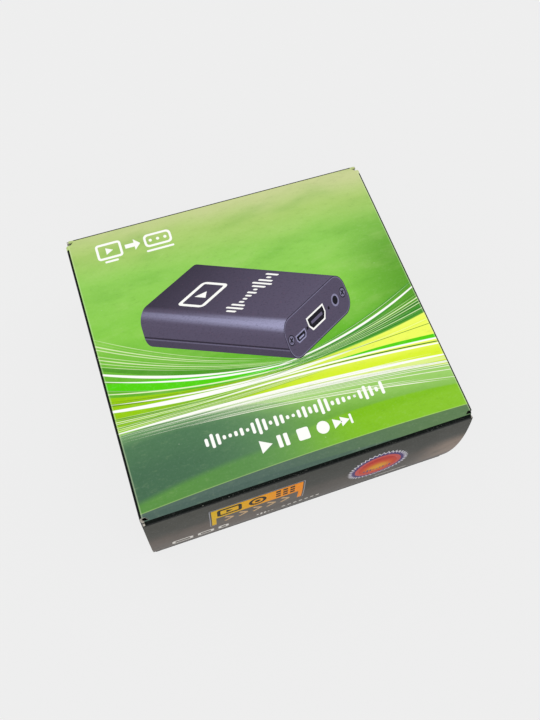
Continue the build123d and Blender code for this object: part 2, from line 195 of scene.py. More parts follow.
class Surface:
    """A material under construction: its shader and the fields that most patterns start from."""

    def __init__(self, name, roughness, metallic=0.0, ior=1.45):
        self.material = bpy.data.materials.new(name)
        self.material.use_nodes = True
        self.tree = self.material.node_tree
        self.tree.nodes.clear()
        self.shader = add_node(self.tree, "BsdfPrincipled")
        self.output = add_node(self.tree, "OutputMaterial")
        self.tree.links.new(self.shader.outputs[0], self.output.inputs[0])
        self.set("Roughness", roughness)
        self.set("Metallic", metallic)
        self.set("IOR", ior)
        self.scaled = add_node(self.tree, "VectorMath")
        self.scaled.operation = "SCALE"
        self.scaled.inputs["Scale"].default_value = 1 / MM
        place = add_node(self.tree, "TexCoord")
        self.tree.links.new(place.outputs["Object"], self.scaled.inputs[0])
        split = add_node(self.tree, "SeparateXYZ")
        self.tree.links.new(self.scaled.outputs[0], split.inputs[0])
        self.x, self.y, self.z = (Field(self.tree, socket) for socket in split.outputs)

    def set(self, name, value):
        feed(self.tree, self.shader.inputs[name], value)

    def noise(self, size, detail=2.0, roughness=0.5, stretch=(1, 1, 1)):
        """Cloudy noise from 0 to 1, with patches of about this size in millimetres."""
        stretched = add_node(self.tree, "VectorMath")
        stretched.operation = "MULTIPLY"
        stretched.inputs[1].default_value = stretch
        self.tree.links.new(self.scaled.outputs[0], stretched.inputs[0])
        node = add_node(self.tree, "TexNoise")
        self.tree.links.new(stretched.outputs[0], node.inputs["Vector"])
        node.inputs["Scale"].default_value = 1 / size
        node.inputs["Detail"].default_value = detail
        node.inputs["Roughness"].default_value = roughness
        return Field(self.tree, node.outputs[0])

    def cells(self, size):
        """The distance to the nearest of many scattered points this far apart."""
        node = add_node(self.tree, "TexVoronoi")
        self.tree.links.new(self.scaled.outputs[0], node.inputs["Vector"])
        node.inputs["Scale"].default_value = 1 / size
        return Field(self.tree, node.outputs["Distance"])

    def random(self, value):
        """A random number for each whole number."""
        node = add_node(self.tree, "TexWhiteNoise")
        node.noise_dimensions = "1D"
        feed(self.tree, node.inputs["W"], value)
        return Field(self.tree, node.outputs["Value"])

    def attribute(self, name):
        node = add_node(self.tree, "Attribute")
        node.attribute_name = name
        return Field(self.tree, node.outputs["Fac"])

    def relief(self, height, depth):
        """Bumps of this depth in millimetres, from a height field of 0 to 1."""
        node = add_node(self.tree, "Bump")
        node.inputs["Distance"].default_value = depth * MM
        feed(self.tree, node.inputs["Height"], height)
        self.tree.links.new(node.outputs[0], self.shader.inputs["Normal"])


# Printed board, with painted reflection, highlight and shade in some of its colours

BLACK_INK = srgb(7, 13, 10)
BOARD_FACE = srgb(198, 194, 184)
BOARD_FIBRE = srgb(160, 153, 140)
BOARD_EDGE = srgb(206, 196, 174)
INK_DEPTH = 0.12
PRINT_SKIN = 0.85
PRINT_SIDE_GAP = 0.9
PRINT_END_GAP = 1.1
PRINT_SHIFT = 0.1
NOTCH_WIDTH = 3.5
NOTCH_LENGTH = 4.5
NOTCH_DEPTH = 3.0
NOTCH_BLUR = 0.1
DUST_BLEED = 3.5
GLOSS_ROUGHNESS = 0.44
GLOSS_IOR = 1.14


def print_surface(name):
    return Surface(name, GLOSS_ROUGHNESS, ior=GLOSS_IOR)


def paper_finish(surface, colour):
    """The print under its satin film: faint grain, and broad waves that the reflections show."""
    surface.set("Base Color", colour)
    grain = surface.noise(0.35, detail=3)
    waves = surface.noise(24.0, detail=1)
    surface.relief(grain * 0.12 + waves, 0.06)
    surface.set("Roughness", surface.noise(5.0) * 0.08 + (GLOSS_ROUGHNESS - 0.04))
    return surface.material


def speckled(surface, colour, amount):
    """Fine mottling of a print, with a few pale specks."""
    mottle = surface.noise(0.9, detail=3, roughness=0.7)
    pale = mix(colour, (1, 1, 1, 1), step(mottle, 0.5, 0.85) * amount * 3)
    darker = mix(pale, (0, 0.02, 0, 1), step(mottle, 0.5, 0.15) * amount * 3)
    specks = step(surface.cells(4.6), 0.05, 0.03) * above(surface.noise(17.0), 0.58)
    return mix(darker, (1, 1, 0.85, 1), specks * 0.2)


STREAK_BLUR = 0.09
LINE_BLUR = 0.06


class Artwork:
    """The top's print under construction. Its curves are given by three heights: left, middle and right."""

    def __init__(self, surface, colour):
        self.surface = surface
        self.across = surface.x / HALF_WIDTH
        self.colour = colour

    def curve(self, left, middle, right):
        """A parabola through the three heights."""
        slope = (right - left) / 2
        hollow = (left + right) / 2 - middle
        return (self.across * hollow + slope) * self.across + middle

    def paint(self, ink, share):
        self.colour = mix(self.colour, ink, share)

    def streak(self, ink, heights, width, start, end, fade, depth=1.0):
        """A ribbon of ink along a curve, tapered at both ends. Width is in millimetres."""
        reach = step(self.across, start, start + fade) * step(self.across, end, end - fade)
        distance = abs(self.surface.y - self.curve(*heights)) - reach * width / 2
        self.paint(ink, step(distance, STREAK_BLUR, -STREAK_BLUR) * depth)

    def fan(self, ink, upper, lower, count, weight=0.6, depth=1.0, start=-1.4, end=1.4, ragged=0.5):
        """Many fine lines that fan out between two curves, each with its own weight and tapered ends."""
        high = self.curve(*upper)
        place = (high - self.surface.y) / (high - self.curve(*lower))
        cell = (place * count).combine("FLOOR")
        middle = abs((place * count).combine("FRACT") - 0.5)
        strength = self.surface.random(cell)
        begin = self.surface.random(cell + 31.7) * ragged + start
        finish = end - self.surface.random(cell + 57.3) * ragged
        reach = step(self.across - begin, 0.0, 0.35) * step(finish - self.across, 0.0, 0.35)
        inside = above(place, 0.0) * below(place, 1.0) * above(reach, 0.02)
        line = step(middle - strength * reach * weight * 0.5, LINE_BLUR, -LINE_BLUR) * inside
        self.paint(ink, line * (strength * 0.5 + 0.5) * depth)


def paint_fields_and_back_sheen(art):
    """A pale sky over green fields of light, from back to front. The palest band at the back is partly the print's
    sky and partly a painted reflection on the glossy top.
    """
    y, across = art.surface.y, art.across
    cloud = art.surface.noise(26.0, detail=2)
    height = y + (cloud - 0.5) * 9.0 + across * 4.0
    art.paint(srgb(136, 204, 76), step(height, -14, 10))
    art.paint(srgb(146, 206, 90), step(height, 8, 32))
    art.paint(srgb(172, 204, 112), step(height, 30, 50))
    # Partly painted reflection: this palest band at the back is the glossy top's glow as well as the printed sky.
    art.paint(srgb(200, 208, 148), step(height, 46, 62))
    art.paint(srgb(72, 140, 30), step(abs(across + 0.2), 0.72, 1.2) * step(y, 48, 12) * 0.7)
    haze = art.surface.noise(9.0, detail=3, stretch=(0.35, 1, 1))
    art.paint(srgb(82, 158, 34), step(haze, 0.55, 0.25) * 0.22)
    art.paint(srgb(196, 222, 140), step(haze, 0.5, 0.8) * 0.22)

    yellow_edge = art.curve(-11.0, -20.5, -14.5)
    yellow = mix(srgb(150, 204, 12), srgb(240, 252, 96), step(across, -0.5, 0.75))
    art.paint(yellow, step(yellow_edge - y, -0.3, 0.3))
    lime_edge = art.curve(-22.0, -23.5, -27.5)
    art.paint(srgb(214, 240, 30), step(lime_edge - y, -0.2, 4.0) * step(across, -0.6, 0.4) * 0.8)
    mist_edge = art.curve(-25.5, -29.0, -38.0)
    art.paint(srgb(158, 208, 108), step(mist_edge - y, -0.3, 0.5))
    art.paint(srgb(112, 172, 52), step(mist_edge - y, 2, 15))
    art.paint(srgb(172, 214, 104), step(y, -46, -49) * step(across, -0.2, 1.0))
    glow_edge = art.curve(-60.0, -45.5, -46.5)
    art.paint(srgb(130, 194, 22), step(glow_edge - y, -0.4, 0.6) * 0.85)
    hill = art.curve(-27.0, -33.5, -64.0)
    art.paint(srgb(112, 156, 104), step(hill - y, -0.3, 0.3) * step(across, 0.4, -0.5))
    art.paint(srgb(80, 120, 86), step(hill - y, 0.3, 6) * step(across, 0.3, -0.7))
    art.paint(srgb(70, 106, 80), step(hill - y, 6, 18) * step(across, 0.1, -1.0) * 0.8)
    slope = art.curve(-52.0, -47.0, -56.0)
    art.paint(srgb(104, 166, 58), step(slope - y, -0.3, 2.5) * step(across, 0.6, -0.9) * 0.55)


CREAM = srgb(228, 242, 192)
WHITE = srgb(255, 255, 250)
DEEP_GREEN = srgb(52, 128, 34)
LIME = srgb(84, 212, 12)


def paint_upper_sweep(art):
    """Ribbons that rise to the left, and their right end, a dark fan with pale lines over the yellow."""
    art.fan(CREAM, (15.0, -14.5, -18.0), (1.5, -17.5, -20.0), 9, weight=0.45, depth=0.85, end=0.35)
    art.streak(DEEP_GREEN, (1.2, -17.6, -17.0), 2.2, start=-1.4, end=0.1, fade=0.7, depth=0.55)
    art.streak(LIME, (-6.5, -19.4, -18.0), 5.6, start=-1.5, end=0.35, fade=1.1)
    art.streak(WHITE, (-1.2, -17.6, -12.0), 1.6, start=-1.6, end=0.2, fade=1.2)
    art.streak(WHITE, (-4.2, -18.4, -13.0), 0.8, start=-1.3, end=0.5, fade=0.9)
    art.streak(CREAM, (-9.6, -19.8, -15.0), 0.5, start=-1.3, end=0.5, fade=0.5)
    art.fan(srgb(84, 124, 30), (-12.6, -20.6, -17.0), (-15.4, -22.0, -20.0), 5, weight=0.8, end=0.7)
    art.streak(WHITE, (-16.8, -22.2, -17.6), 1.9, start=-1.6, end=0.55, fade=1.2)
    art.streak(WHITE, (-14.0, -21.4, -17.4), 0.6, start=-1.1, end=0.7, fade=0.5)
    art.fan(
        srgb(92, 150, 70), (-18.4, -23.0, -19.0), (-27.0, -26.5, -24.0), 12,
        weight=0.9, depth=0.8, end=0.5, ragged=0.8,
    )
    art.fan(CREAM, (-19.5, -23.2, -19.5), (-26.0, -26.0, -23.5), 9, weight=0.55, end=0.7, ragged=0.6)
    art.fan(
        srgb(70, 150, 52), (-14.0, -18.6, 1.0), (-20.0, -21.6, -14.6), 8,
        weight=1.5, depth=0.95, start=-0.35, ragged=0.7,
    )
    art.fan(
        srgb(38, 112, 34), (-15.0, -19.0, -5.0), (-20.0, -21.4, -14.0), 14,
        weight=0.7, start=-0.2, ragged=0.7,
    )
    art.fan(CREAM, (-14.0, -18.6, 0.6), (-20.0, -21.2, -13.0), 11, weight=0.42, start=-0.4, ragged=0.9)
    art.streak(WHITE, (-8.0, -18.4, -2.2), 0.9, start=-0.2, end=1.5, fade=0.8)


def paint_lower_sweep(art):
    """Short ribbons over the yellow field, and the sweep that crosses it the other way."""
    art.streak(LIME, (-24.0, -22.6, -25.6), 1.9, start=0.25, end=1.5, fade=0.5)
    art.streak(WHITE, (-24.0, -22.9, -26.6), 0.7, start=-0.3, end=1.5, fade=0.6)
    art.streak(DEEP_GREEN, (-24.0, -23.4, -28.0), 0.5, start=-0.1, end=1.5, fade=0.7)
    art.streak(WHITE, (-25.0, -24.2, -28.9), 0.8, start=-0.7, end=1.5, fade=0.9)
    art.streak(DEEP_GREEN, (-22.0, -21.6, -19.8), 0.22, start=0.2, end=1.5, fade=0.5)
    art.streak(CREAM, (-27.5, -29.5, -35.4), 3.2, start=-0.6, end=1.5, fade=1.2, depth=0.45)
    art.streak(WHITE, (-25.8, -28.4, -34.0), 1.3, start=-1.4, end=1.5, fade=1.1)
    art.streak(WHITE, (-27.4, -30.0, -37.0), 1.9, start=-0.9, end=1.6, fade=1.5, depth=0.9)
    art.fan(srgb(250, 250, 232), (-25.0, -28.0, -32.0), (-30.0, -34.5, -45.0), 16, start=-1.2, ragged=1.2)
    art.fan(
        srgb(104, 158, 72), (-26.0, -28.5, -33.0), (-29.0, -32.0, -40.0), 13,
        weight=0.35, depth=0.8, start=-1.2, ragged=1.2,
    )


def paint_front_band(art):
    """The dark band along the front."""
    y = art.surface.y
    past_band = y - art.curve(-56.6, -54.4, -55.4)
    art.paint(srgb(200, 224, 150), step(abs(past_band), 0.45, 0.05) * 0.4)
    band_ink = mix(srgb(84, 106, 96), srgb(94, 124, 84), step(art.across, -0.4, 0.8))
    art.paint(band_ink, step(past_band, 0.1, -0.1))
    ripple = step(art.curve(-57.0, -57.5, -61.0) - y, -0.1, 0.6)
    art.paint(srgb(76, 98, 90), ripple * step(past_band, 0.0, -0.4) * 0.7)


def top_print_and_painted_light(surface):
    """Fields of light, crossed by sweeping ribbons, with the grain of the print and a painted sheen towards the
    back.
    """
    art = Artwork(surface, srgb(100, 180, 44))
    paint_fields_and_back_sheen(art)
    paint_upper_sweep(art)
    paint_lower_sweep(art)
    paint_front_band(art)
    weave = surface.noise(1.3, detail=3, roughness=0.65, stretch=(0.45, 1, 1))
    art.paint(srgb(30, 70, 10), step(weave, 0.48, 0.2) * 0.12)
    art.paint(srgb(220, 240, 180), step(weave, 0.52, 0.85) * 0.08)
    return speckled(surface, art.colour, 0.015)


def board_colour(surface, outer, art):
    """Print where the depth below the outer face is small, and fibrous board elsewhere."""
    fibres = surface.noise(0.5, detail=4, roughness=0.7, stretch=(1, 0.35, 1))
    board = mix(BOARD_FACE, BOARD_FIBRE, step(fibres, 0.42, 0.75) * 0.7)
    specks = step(surface.cells(1.7), 0.12, 0.06) * above(surface.noise(6.0), 0.5)
    board = mix(board, srgb(120, 108, 92), specks * 0.5)
    return mix(board, art, above(outer, -INK_DEPTH))


def worn(surface, colour, share):
    """Ink rubbed off along a fold, where share is 1."""
    rub = step(surface.noise(0.45, detail=3, roughness=0.75), 0.62, 0.72)
    patches = step(surface.noise(7.0), 0.46, 0.6)
    return mix(colour, srgb(186, 188, 176), rub * patches * share * 0.7)


def corner_distance(a, b):
    """How far a point lies past two edges, measured round their corner."""
    a = higher(a, 0.0)
    b = higher(b, 0.0)
    return root(a * a + b * b)


def sleeve_material():
    surface = print_surface("sleeve_print_and_painted_light")
    x, y, z = surface.x, surface.y, surface.z
    side_turn = abs(x) - (HALF_WIDTH - FOLD)
    at_top = above(z, TOP - FOLD)
    tube = corner_distance(side_turn, abs(z - TOP / 2) - (TOP / 2 - FOLD)) - FOLD
    top_fold = corner_distance(abs(y) - TOP_END, z - (TOP - FOLD)) - FOLD
    side_fold = corner_distance(side_turn, abs(y) - DUST_TURN) - FOLD
    outer = higher(higher(tube, top_fold), side_fold - at_top * HALF_WIDTH)
    past_side = abs(x) - HALF_WIDTH
    past_end = abs(y) - HALF_DEPTH
    printed = below(past_side, -PRINT_SIDE_GAP) * below(abs(y - PRINT_SHIFT), HALF_DEPTH - PRINT_END_GAP)
    printed = printed * above(z, TOP - PRINT_SKIN)

    # The cut corners, whose edges take up ink, but for the rubbed one at the front left
    notch = step(past_side + NOTCH_WIDTH, -NOTCH_BLUR, NOTCH_BLUR) * above(z, TOP - NOTCH_DEPTH)
    notch = notch * step(past_end + NOTCH_LENGTH, -NOTCH_BLUR, NOTCH_BLUR)
    cut_or_fold = higher(above(z, TOP - 1.2), below(outer, -INK_DEPTH))
    printed = higher(printed, notch * above(y, 0.0) * cut_or_fold)
    colour = mix(speckled(surface, BLACK_INK, 0.01), top_print_and_painted_light(surface), printed)
    # Painted highlight: a pale line where each side fold begins.
    fold_highlight = step(abs(past_side + 1.15), 0.35, 0.1) * printed
    colour = mix(colour, srgb(226, 240, 200), fold_highlight * 0.25)
    rim = higher(step(past_side, -1.0, -0.5) * 0.35, step(past_end, -0.9, -0.4)) * at_top
    colour = worn(surface, colour, rim)
    rubbed = below(x, 0.0) * below(y, 0.0)
    corner = step(past_side, -1.3, -1.0) * step(past_end, -2.4, -2.1) * at_top
    colour = mix(colour, BOARD_EDGE, corner * rubbed * 0.35)
    outer = outer + notch * (1.0 - rubbed) * FOLD
    return paper_finish(surface, board_colour(surface, outer, colour))


def panel_print_and_painted_light(surface):
    """The end panels' warm grey print, darker at both folds and lighter towards its lower right. The black at the
    upper fold is print. The lighter lower part and the sheen at the lower right are a painted reflection of the
    floor, and the dark at the lower fold is painted shade.
    """
    x, z = surface.x, surface.z
    # Painted reflection: the grey is lighter and warmer below, where the glossy panel mirrors the pale floor.
    colour = mix(srgb(91, 82, 75), srgb(70, 70, 65), step(z, 30, 41))
    middle = step(x, -30, 0) * step(x, 56, 44)
    colour = mix(colour, srgb(56, 58, 54), middle * 0.45)
    # Painted sheen: a lighter patch towards the lower right.
    sheen = step(x, 42, 61) * step(z, 42, 31) * step(z, 8, 20)
    colour = mix(colour, srgb(168, 148, 132), sheen * 0.42)
    # Painted shade: darker along the lower fold, where the panel faces down.
    colour = mix(colour, srgb(44, 40, 38), step(z, 11, 4) * 0.8)
    cloud = surface.noise(7.0, detail=3)
    colour = mix(colour, srgb(58, 58, 54), step(cloud, 0.5, 0.25) * 0.35)
    return mix(colour, BLACK_INK, step(z, PANEL_HIGH.z - 0.7, PANEL_HIGH.z - 0.4))


def closure_material():
    """End panels: dark print with painted reflection and shade on the bowed face and round the lower fold, bare
    board inside.
    """
    surface = print_surface("closure_print_and_painted_light")
    x, z = surface.x, surface.z
    back = abs(surface.y)
    rise = root(BOW_RADIUS ** 2 - (z - BOW_MIDDLE) * (z - BOW_MIDDLE)) - BOW_CENTRE
    bowed = back - rise
    turn = corner_distance(back - TOP_END, CREASE_HEIGHT - z) - FOLD
    outer = mix(turn, bowed, above(z, CREASE_HEIGHT))
    colour = speckled(surface, panel_print_and_painted_light(surface), 0.015)
    rim = higher(step(z, CREASE_HEIGHT, FOLD), step(abs(x), PANEL_HIGH.x - 1.0, PANEL_HIGH.x))
    colour = worn(surface, colour, rim)
    return paper_finish(surface, board_colour(surface, outer, colour))


def tuck_material():
    """Tuck flaps: their outer, lower face is printed like the end panel."""
    surface = print_surface("tuck_print")
    share = (-TUCK_LOW.y - abs(surface.y)) / (TUCK_HIGH.y - TUCK_LOW.y)
    outer = share * share * (TUCK_HIGH.z - TUCK_LOW.z) + TUCK_LOW.z - surface.z + 0.2
    colour = speckled(surface, BLACK_INK, 0.012)
    return paper_finish(surface, board_colour(surface, outer, colour))


def dust_material():
    """Dust flaps: bare board, with a strip of ink that runs over from the side panel."""
    surface = print_surface("dust_print")
    bare = below(abs(surface.x), HALF_WIDTH - FOLD - DUST_BLEED)
    outer = abs(surface.y) - DUST_FACE - bare * FOLD
    dark = speckled(surface, BLACK_INK, 0.012)
    return paper_finish(surface, board_colour(surface, outer, dark))


# Materials of the contents


def grained(name, face, shade, roughness, metallic, grain, depth, stretch=(1, 1, 1)):
    """A moulded, blasted or brushed surface: a fine grain that shows in its colour, gloss and relief."""
    surface = Surface(name, roughness, metallic)
    fine = surface.noise(grain, detail=4, roughness=0.65, stretch=stretch)
    broad = surface.noise(grain * 18, detail=2)
    surface.set("Base Color", mix(face, shade, step(fine * 0.6 + broad * 0.4, 0.3, 0.75) * 0.35))
    surface.set("Roughness", step(fine, 0.25, 0.8) * 0.14 + broad * 0.08 + (roughness - 0.1))
    surface.relief(fine, depth)
    return surface.material


def card_material():
    surface = Surface("insert_card", 0.7, ior=1.4)
    fibres = surface.noise(0.6, detail=4, roughness=0.75, stretch=(1, 0.3, 1))
    colour = mix(srgb(226, 223, 214), srgb(190, 184, 170), step(fibres, 0.4, 0.8) * 0.6)
    flecks = step(surface.cells(2.1), 0.1, 0.05) * above(surface.noise(5.0), 0.52)
    surface.set("Base Color", mix(colour, srgb(132, 118, 98), flecks * 0.5))
    surface.relief(fibres, 0.03)
    return surface.material


def foam_material():
    surface = Surface("cell_foam", 0.85, ior=1.35)
    pores = surface.cells(0.7)
    skin = surface.noise(9.0, detail=2)
    # Painted shade: the pits of the cells are darker in their middle.
    colour = mix(srgb(40, 41, 44), srgb(66, 67, 71), step(pores, 0.05, 0.5))
    surface.set("Base Color", mix(colour, srgb(52, 53, 57), step(skin, 0.35, 0.7) * 0.5))
    surface.set("Sheen Weight", 0.15)
    surface.relief(step(pores, 0.0, 0.45), 0.12)
    return surface.material


def guide_material():
    """White sheet with grey ruled rows, as small print looks from afar."""
    surface = Surface("guide_sheet", 0.6, ior=1.4)
    fibres = surface.noise(0.4, detail=4, roughness=0.7)
    colour = mix(srgb(236, 235, 230), srgb(214, 212, 204), step(fibres, 0.4, 0.8) * 0.5)
    row = abs((surface.y / 2.6).combine("FRACT") - 0.5)
    inside = below(abs(surface.x), 24.0) * below(abs(surface.y), 37.0)
    broken = above(surface.noise(1.1, stretch=(1, 0.2, 1)), 0.42)
    surface.set("Base Color", mix(colour, srgb(120, 122, 124), step(row, 0.14, 0.06) * inside * broken * 0.7))
    surface.relief(fibres, 0.008)
    return surface.material


def case_material():
    """Blasted and anodised aluminium with its ground edges."""
    surface = Surface("anodised_case", 0.42, metallic=0.85)
    blast = surface.noise(0.22, detail=3, roughness=0.8)
    drawn = surface.noise(1.1, detail=3, stretch=(1, 0.04, 1))
    colour = mix(srgb(74, 70, 88), srgb(92, 88, 108), step(blast * 0.6 + drawn * 0.4, 0.3, 0.75) * 0.7)
    surface.set("Base Color", colour)
    surface.set("Roughness", blast * 0.12 + drawn * 0.08 + 0.3)
    surface.relief(blast, 0.012)
    return surface.material


def circuit_material():
    """Green solder mask over copper tracks, with tinned pads."""
    surface = Surface("solder_mask", 0.32, ior=1.5)
    lanes_x = abs((surface.x / 1.27).combine("FRACT") - 0.5)
    lanes_y = abs((surface.y / 1.27).combine("FRACT") - 0.5)
    across = above(surface.noise(7.0), 0.5)
    track = step(mix(lanes_x, lanes_y, across), 0.16, 0.1) * above(surface.noise(4.0), 0.42)
    colour = mix(srgb(16, 74, 48), srgb(36, 112, 70), track)
    pads = step(surface.cells(2.5), 0.16, 0.12) * above(surface.noise(11.0), 0.52)
    surface.set("Base Color", mix(colour, srgb(190, 190, 182), pads))
    surface.relief(track, 0.035)
    return surface.material


def lamp_material():
    surface = Surface("clear_lens", 0.12, ior=1.5)
    cloud = surface.noise(0.8)
    surface.set("Base Color", mix(srgb(206, 220, 228), srgb(180, 198, 212), cloud))
    surface.set("Roughness", cloud * 0.1 + 0.08)
    surface.relief(cloud, 0.005)
    return surface.material


# Each grained finish has its face and shade, roughness, share of metal, grain size and relief depth.
MATERIALS = {
    "plain_card": card_material(),
    "grey_foam": foam_material(),
    "guide_paper": guide_material(),
    "case_aluminium": case_material(),
    "plated_steel": grained(
        "bright_plating", srgb(196, 195, 190), srgb(168, 167, 160), 0.3, 1.0, 0.3, 0.004, stretch=(1, 0.2, 1)
    ),
    "black_steel": grained("blackened_steel", srgb(44, 44, 48), srgb(66, 65, 70), 0.38, 0.9, 0.2, 0.006),
    "gold_contacts": grained("gold_flash", srgb(214, 176, 92), srgb(190, 150, 72), 0.3, 1.0, 0.15, 0.002),
    "black_plastic": grained("moulded_black", srgb(26, 26, 28), srgb(38, 38, 41), 0.5, 0.0, 0.12, 0.008),
    "circuit_board": circuit_material(),
    "black_rubber": grained("foot_rubber", srgb(28, 28, 29), srgb(44, 44, 45), 0.75, 0.0, 0.3, 0.02),
    "thermal_rubber": grained("gap_pad", srgb(142, 152, 168), srgb(120, 130, 150), 0.7, 0.0, 0.2, 0.01),
    "sink_aluminium": grained(
        "black_anodised", srgb(40, 41, 43), srgb(58, 59, 62), 0.4, 0.8, 0.25, 0.006, stretch=(1, 0.1, 1)
    ),
    "can_aluminium": grained("can_metal", srgb(200, 201, 203), srgb(176, 177, 180), 0.32, 1.0, 0.25, 0.004),
    "chip_ceramic": grained("chip_body", srgb(150, 126, 98), srgb(120, 100, 78), 0.6, 0.0, 0.1, 0.004),
    "clear_lamp": lamp_material(),
}

BOARD_PRINTS_AND_PAINTED_LIGHT = {
    "sleeve": sleeve_material(),
    "closure_panel": closure_material(),
    "tuck_flap": tuck_material(),
    "dust_flap": dust_material(),
}


def dress_nodes():
    """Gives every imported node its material."""
    for part in frame["record"]["subparts"]:
        slot = part["material_slot"]
        if slot == "printed_board":
            material = next(BOARD_PRINTS_AND_PAINTED_LIGHT[kind] for kind in BOARD_PRINTS_AND_PAINTED_LIGHT if part["node"].endswith(kind))
        else:
            material = MATERIALS[slot]
        mesh = NODES[part["node"]].data
        mesh.materials.clear()
        mesh.materials.append(material)


dress_nodes()


# Foam

FOAM_VOXEL = 1.3
FOAM_ROUNDING = 4
FOAM_PITS = 0.25
FOAM_PIT_SIZE = 3.5


def soft_foam(node):
    """A cut foam block with rounded, slightly uneven faces, inside the plain solid that it stands for."""
    name = node.replace("foam", "soft")
    block = add_object(name, NODES[node].data.copy())
    remesh = block.modifiers.new("voxels", "REMESH")
    remesh.mode = "VOXEL"
    remesh.voxel_size = FOAM_VOXEL * MM
    graph = bpy.context.evaluated_depsgraph_get()
    mesh = bpy.data.meshes.new_from_object(block.evaluated_get(graph))
    block.modifiers.clear()
    block.data = mesh
    bm = bmesh.new()
    bm.from_mesh(mesh)
    low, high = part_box(node)
    for _ in range(FOAM_ROUNDING):
        bmesh.ops.smooth_vert(
            bm, verts=bm.verts, factor=0.5, use_axis_x=True, use_axis_y=True, use_axis_z=True
        )
    bm.normal_update()
    for vert in bm.verts:
        pit = 0.5 + 0.5 * noise.noise(vert.co / (FOAM_PIT_SIZE * MM))
        inward = vert.normal * pit * FOAM_PITS * MM
        vert.co = Vector(min(max(c, a), b) for c, a, b in zip(vert.co - inward, low, high))
    for face in bm.faces:
        face.smooth = True
    bm.to_mesh(mesh)
    bm.free()
    mesh.materials.clear()
    mesh.materials.append(MATERIALS["grey_foam"])
    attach(block, "carton")
    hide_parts(node)


soft_foam("foam_cradle")
soft_foam("foam_pad")


# Printed shapes, as thin closed slabs of ink that lie on a panel

PRINT_RISE = 0.012
LAYER_RISE = 0.003
SLICE = 2.0
ROUND_POINTS = 8


def on_top(u, v, rise):
    return Vector((u, v, TOP + rise)) * MM


def on_front(u, v, rise):
    """A place on the bowed end panel, by x and z."""
    face = BOW_CENTRE - math.sqrt(BOW_RADIUS ** 2 - (v - BOW_MIDDLE) ** 2)
    return Vector((u, face - rise, v)) * MM


def vectors(*points):
    return [Vector(point) for point in points]


def spoke(x, y, radius, angle):
    """A point at a distance and angle from a centre."""
    return Vector((x + radius * math.cos(angle), y + radius * math.sin(angle)))


def rounded(x, y, width, height, radius):
    """The outline of a rounded rectangle round a centre."""
    points = []
    for side_x, side_y, start in ((1, 1, 0), (-1, 1, 90), (-1, -1, 180), (1, -1, 270)):
        corner = (x + side_x * (width / 2 - radius), y + side_y * (height / 2 - radius))
        for i in range(ROUND_POINTS + 1):
            points.append(spoke(*corner, radius, math.radians(start + 90 * i / ROUND_POINTS)))
    return points


def disc(x, y, radius, count=48):
    """A circle's outline."""
    turn = 2 * math.pi / count
    return [spoke(x, y, radius, i * turn) for i in range(count)]


def tapered(x, y, width, height):
    """The outline of a socket whose lower corners are cut off."""
    half = width / 2
    top = y + height / 2
    foot = y - height / 2
    shoulder = y - height * 0.08
    sole = half * 0.72
    return vectors(
        (x + half, top), (x - half, top), (x - half, shoulder), (x - sole, foot), (x + sole, foot),
        (x + half, shoulder),
    )


def serrated(x, y, inner, outer, teeth):
    """The outline of a seal with pointed teeth."""
    turn = math.pi / teeth
    return [spoke(x, y, outer if i % 2 else inner, i * turn) for i in range(2 * teeth)]


def bar(start, end, width):
    """The outline of a straight bar with square ends."""
    start = Vector(start)
    end = Vector(end)
    side = (end - start).orthogonal().normalized() * width / 2
    return [start - side, end - side, end + side, start + side]


def triangle(x, y, size):
    """A triangle that points to the right, round a centre."""
    back = x - size * 0.42
    return vectors((back, y - size / 2), (x + size / 2, y), (back, y + size / 2))


